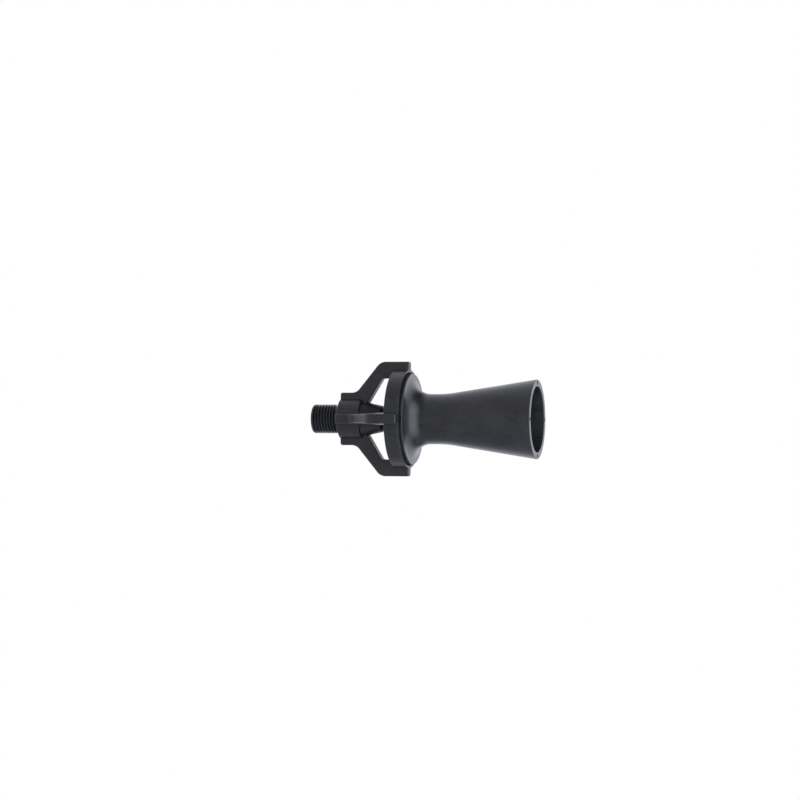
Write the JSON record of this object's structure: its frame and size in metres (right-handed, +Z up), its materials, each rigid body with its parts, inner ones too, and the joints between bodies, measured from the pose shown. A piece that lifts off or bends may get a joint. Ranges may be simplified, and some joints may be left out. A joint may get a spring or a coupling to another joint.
{
  "type": "jet eductor",
  "caption": "Tank mixing eductor: a threaded jet nozzle whose slanting arms carry a ring, with a flared diffuser seated in the ring on the same axis.",
  "frame": {"origin": "centre of the hub's inlet face, on the flow axis, where the threaded shank ends", "axes": "+X along the flow from the thread to the outlet, +Z up through one of the arms"},
  "size_m": [0.1077, 0.0538, 0.0538],
  "materials": {
    "body_plastic": "satin",
    "diffuser_plastic": "satin"
  },
  "bodies": {
    "root": {"nozzle_body": "body_plastic", "diffuser": "diffuser_plastic"}
  },
  "joints": []
}
